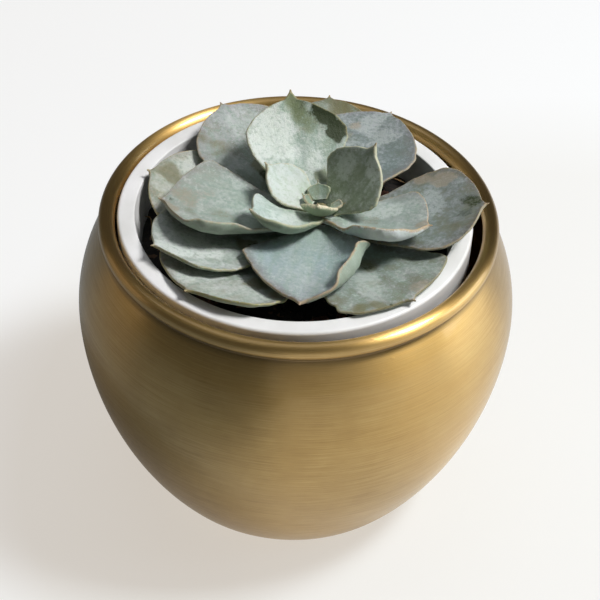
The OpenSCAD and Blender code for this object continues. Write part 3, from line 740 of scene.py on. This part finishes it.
# White polypropylene, injection moulded: a faint orange peel, soft gloss and a little dust
potPlastic = {"clean": "#ededee", "cloudy": "#dfdfde", "dust": "#6b5a48", "peelMm": 1.6, "dustMm": 0.5,
              "smearMm": 18, "roughness": (0.32, 0.5)}
plastic, tree, shader, place = startMaterial("whitePolypropylene")
peel, dust, smear = (addNode(tree, "TexNoise", inputs={
    "Vector": place, "Scale": 1 / (potPlastic[size] * mm), "Detail": detail,
    "Roughness": jagged}) for size, detail, jagged in (
        ("peelMm", 3.0, 0.5), ("dustMm", 4.0, 0.7), ("smearMm", 4.0, 0.5)))
milky = addNode(tree, "ValToRGB", {"stops": [(0.35, potPlastic["cloudy"]), (0.6, potPlastic["clean"])]},
                {"Fac": smear})
speck = addNode(tree, "MapRange", inputs={0: dust, 1: 0.69, 2: 0.76, 3: 0.0, 4: 0.55})
milky = addNode(tree, "Mix", {"data_type": "RGBA"}, {0: speck, 6: milky, 7: potPlastic["dust"]})
rough = addNode(tree, "MapRange", inputs={
    0: smear, 1: 0.3, 2: 0.7, 3: potPlastic["roughness"][0], 4: potPlastic["roughness"][1]})
bump = addNode(tree, "Bump", inputs={"Strength": 0.2, "Distance": 0.0001, "Height": peel})
setInputs(tree, shader, {"Base Color": milky.outputs[2], "Roughness": rough,
                         "Normal": bump})

growShell = spinOutline(growOutline(), growPot["facets"], center=growPot["shift"])
ringRadius = growPot["foot"] / 2 * 0.62
cutHoles(growShell, [(0, 0, growPot["drain"] / 2)] + [
    (ringRadius * math.cos(a), ringRadius * math.sin(a), growPot["drain"] * 0.3)
    for a in np.radians([45, 135, 225, 315])])
smooth(growShell, 35)
dress(growShell, "innerGrowPot", plastic, "planter", ["grow_pot"])
print("grow pot made")

# Black wool felt, pressed: fine fuzz and a cut edge
feltPad = {"width": 0.066, "thick": 0.001, "bevel": 0.00025, "fleckMm": 0.35, "detail": 5.0,
           "jagged": 0.75, "stops": [(0.3, "#17151a"), (0.7, "#3a3639")], "roughness": 0.95,
           "sheen": 0.4, "relief": (0.8, 0.0003)}
felt, tree, shader, place, tint = fleckedMaterial("blackWoolFelt", feltPad)
setInputs(tree, shader, {"Sheen Weight": feltPad["sheen"]})
edge, thick, bevel = feltPad["width"] / 2, feltPad["thick"], feltPad["bevel"]
padLine = [(r, 0) for r in (0, 0.01, 0.02, 0.028, edge - bevel)] + [(edge, bevel), (edge, thick - bevel)]
padLine += [(r, thick) for r in (edge - bevel, 0.028, 0.02, 0.01, 0)]
pad = spinOutline(padLine, 96)
smooth(pad, 40)
dress(pad, "feltFootPad", felt, "cachepot", ["base_pad"])

# Peat potting mix, damp: near black with brown fibre crumbs and the odd pale grain
soilBed = {"level": growPot["top"] - growPot["soilDrop"], "mound": 0.001, "radius": 0.0456, "fleckMm": 1.4,
           "detail": 5.0, "jagged": 0.7, "stops": [(0.35, "#070605"), (0.55, "#130d09"), (0.72, "#2a1b12")],
           "roughness": 0.9, "relief": (0.9, 0.0006), "grainMm": 1.1, "paleGrain": "#7c5f45"}
peat, tree, shader, place, tint = fleckedMaterial("dampPeatMix", soilBed)
grit = addNode(tree, "TexVoronoi", inputs={"Vector": place, "Scale": 1 / (soilBed["grainMm"] * mm)})
grain = addNode(tree, "SeparateColor", inputs={"Color": grit.outputs["Color"]}).outputs["Red"]
pale = addNode(tree, "MapRange", inputs={0: grain, 1: 0.965, 2: 0.985, 3: 0.0, 4: 0.5})
setInputs(tree, shader, {"Base Color": addNode(tree, "Mix", {"data_type": "RGBA"}, {
    0: pale, 6: tint, 7: soilBed["paleGrain"]}).outputs[2]})

bottom, level, wide = growPot["floor"] + growPot["wall"] + 0.0002, soilBed["level"], soilBed["radius"]
soilLine = [(r, bottom) for r in (0, 0.012, 0.024, innerRadius(bottom) - 0.0004)]
soilLine += [(innerRadius(z) - 0.0003, z) for z in np.linspace(bottom + 0.006, level - 0.0004, 14)]
soilLine += [(r, level + soilBed["mound"] * (1 - (r / wide) ** 2))
             for r in np.linspace(wide - 0.0006, 0.0008, 52)]
soilLine += [(0, level + soilBed["mound"])]
soil = spinOutline(soilLine, 220, center=growPot["shift"])
spots = vertexPlaces(soil)
fromAxis = np.hypot(spots[:, 0] - growPot["shift"][0], spots[:, 1] - growPot["shift"][1])
onTop = (spots[:, 2] > level - 0.0005) * ease(wide - fromAxis, -0.0005, 0.001)
spots[:, 2] += onTop * (0.0007 * cloud(spots, 0.0042, 3) + 0.0004 * cloud(spots, 0.0017, 5)
                        + 0.00025 * cloud(spots, 0.0009, 6))
soil.data.vertices.foreach_set("co", spots.ravel())
smooth(soil, 70)
dress(soil, "peatSoil", peat, "planter", ["soil"])
print("soil laid")

# Woody echeveria stem: brown-green bark ringed by the scars of shed leaves
stemForm = {"base": 0.0041, "top": 0.0019, "from": 0.0795, "to": 0.1008, "rings": 9, "scar": 0.07,
            "fleckMm": 0.9, "detail": 4.0, "jagged": 0.65, "roughness": 0.75, "relief": (0.7, 0.0003),
            "stops": [(0.35, "#4b4a2f"), (0.55, "#7a7350"), (0.72, "#93896a")]}
woody = fleckedMaterial("woodyStemBark", stemForm)[0]
stemLine = [(0, stemForm["from"])]
for k in np.linspace(0, 1, 46):
    width = stemForm["base"] + (stemForm["top"] - stemForm["base"]) * k ** 2.2
    stemLine.append((width * (1 - stemForm["scar"] * math.cos(math.tau * stemForm["rings"] * k) ** 2),
                     stemForm["from"] + (stemForm["to"] - 0.0006 - stemForm["from"]) * k))
stemLine += [(0.0011, stemForm["to"] - 0.0002), (0, stemForm["to"])]
stemPiece = spinOutline(stemLine, 40, center=[part * mm for part in leafForm["heart"]])
smooth(stemPiece, 50)
dress(stemPiece, "leafScarredStem", woody, "planter", ["stem"])


def soilTop(x, y):
    reach = math.hypot(x - growPot["shift"][0], y - growPot["shift"][1])
    return soilBed["level"] + soilBed["mound"] * (1 - (reach / soilBed["radius"]) ** 2)


def scatter(name, material, lumps, ragged, replaced=()):
    # each lump has a centre, three sizes and turns in degrees; all are roughened, then joined
    pieces = []
    for number, (center, size, turns) in enumerate(lumps):
        pickNothing()
        bpy.ops.mesh.primitive_cube_add(size=1, location=center, rotation=[math.radians(g) for g in turns])
        piece = bpy.context.object
        piece.scale = size
        bpy.ops.object.mode_set(mode="EDIT")
        bpy.ops.mesh.subdivide(number_cuts=ragged["cuts"], smoothness=ragged["round"])
        bpy.ops.object.mode_set(mode="OBJECT")
        bpy.ops.object.transform_apply(location=True, rotation=True, scale=True)
        spots, narrow = vertexPlaces(piece), min(size[:2])
        swell = cloud(spots, narrow * 0.45, number) + 0.5 * cloud(spots, narrow * 0.2, number + 9)
        spots = np.array(center) + (spots - np.array(center)) * (1 + ragged["depth"] * swell)[:, None]
        piece.data.vertices.foreach_set("co", spots.ravel())
        pieces.append(piece)
    pickOnly(*pieces)
    bpy.ops.object.join()
    heap = bpy.context.object
    bpy.ops.object.transform_apply(location=True, rotation=True, scale=True)
    smooth(heap, 28)
    dress(heap, name, material, "planter", replaced)


# Pine bark chips: red-brown, split along the grain into dark and pale layers
chipBed = {"count": 22, "near": 22, "spread": 19, "fleckMm": 1.2, "detail": 5.0, "jagged": 0.7,
           "roughness": 0.8, "relief": (0.8, 0.0004),
           "stops": [(0.34, "#1c0f0a"), (0.5, "#4a2a1c"), (0.62, "#6e4530"), (0.74, "#94684a")]}
bark = fleckedMaterial("splitPineBark", chipBed)[0]
lumps = []
for i in range(chipBed["count"]):
    turn, long = math.radians(137.5 * i + 20), 3 + (i * 5 % 7) * 0.45
    reach = chipBed["near"] + chipBed["spread"] * (i * 7 % 22) / 22  # in millimetres, as long is
    angle = i * 67 % 180
    lumps.append(((reach * math.cos(turn) * mm + growPot["shift"][0],
                   reach * math.sin(turn) * mm + growPot["shift"][1],
                   soilBed["level"] + (1.3 - 0.015 * reach) * mm),
                  (long * mm, long * 0.55 * mm, long * 0.35 * mm),
                  (angle % 30 - 15, angle % 22 - 11, angle + 137.5 * i + 20)))
scatter("pineBarkChips", bark, lumps, {"cuts": 5, "round": 0.12, "depth": 0.16}, ["bark_chips"])

# loose crumbs of the same peat lie on the soil, with a few dry root fibres
crumbBed = {"count": 190, "from": 0.017, "to": 0.0445, "small": 0.0006, "big": 0.0019}
lumps = []
for i in range(crumbBed["count"]):
    turn, share = 2.39996 * i + 0.4, (i * 37 % crumbBed["count"]) / crumbBed["count"]
    reach = math.sqrt(crumbBed["from"] ** 2 + (crumbBed["to"] ** 2 - crumbBed["from"] ** 2) * share)
    size = crumbBed["small"] + (crumbBed["big"] - crumbBed["small"]) * ((i * 53 % 97) / 97) ** 2.2
    x, y = growPot["shift"][0] + reach * math.cos(turn), growPot["shift"][1] + reach * math.sin(turn)
    lumps.append(((x, y, soilTop(x, y) + size * 0.3), (size, size * 0.8, size * 0.7),
                  (i * 31 % 90, i * 47 % 90, i * 71 % 180)))
scatter("peatCrumbs", peat, lumps, {"cuts": 2, "round": 0.5, "depth": 0.22})

# Dry coir fibre: pale straw threads with a dull skin
fibre = {"thick": 0.00032, "fleckMm": 1.5, "detail": 3.0, "jagged": 0.5, "roughness": 0.8,
         "stops": [(0.35, "#5d4027"), (0.6, "#9a7b55"), (0.8, "#c2ab86")],
         "threads": [(-0.0395, 0.0205, 12, 75), (-0.0418, 0.0135, 9, 100), (-0.0375, 0.027, 8, 40),
                     (-0.0425, 0.004, 7, 130), (-0.036, -0.022, 8, 20), (0.039, 0.006, 7, 95),
                     (0.031, 0.028, 9, 150), (0.02, 0.035, 7, 10)]}  # x, y, millimetres long, turn
straw = fleckedMaterial("dryCoirFibre", fibre)[0]
threads = []
for number, (x, y, long, turn) in enumerate(fibre["threads"]):
    pickNothing()
    bpy.ops.mesh.primitive_cylinder_add(vertices=7, radius=fibre["thick"] / 2, depth=long * mm,
                                        location=(0, 0, 0))
    thread = bpy.context.object
    bpy.ops.object.mode_set(mode="EDIT")
    for k in range(-5, 6):
        bpy.ops.mesh.select_all(action="SELECT")
        bpy.ops.mesh.bisect(plane_co=(0, 0, k * long * mm / 12), plane_no=(0, 0, 1))
    bpy.ops.object.mode_set(mode="OBJECT")
    spots = vertexPlaces(thread)
    t = spots[:, 2] / (long * mm)
    across = spots[:, 0] + 0.0009 * np.sin(5 * t + number) + 0.0012 * t ** 2 * (1 if number % 2 else -1)
    a = math.radians(turn)
    laid = np.stack([x + spots[:, 2] * math.cos(a) - across * math.sin(a),
                     y + spots[:, 2] * math.sin(a) + across * math.cos(a),
                     soilTop(x, y) + 0.0009 + spots[:, 1] + 0.0006 * np.sin(7 * t + 2 * number)], 1)
    thread.data.vertices.foreach_set("co", laid.ravel())
    threads.append(thread)
pickOnly(*threads)
bpy.ops.object.join()
fibres = bpy.context.object
smooth(fibres, 60)
dress(fibres, "coirFibres", straw, "planter")
print("chips, crumbs and fibres scattered")
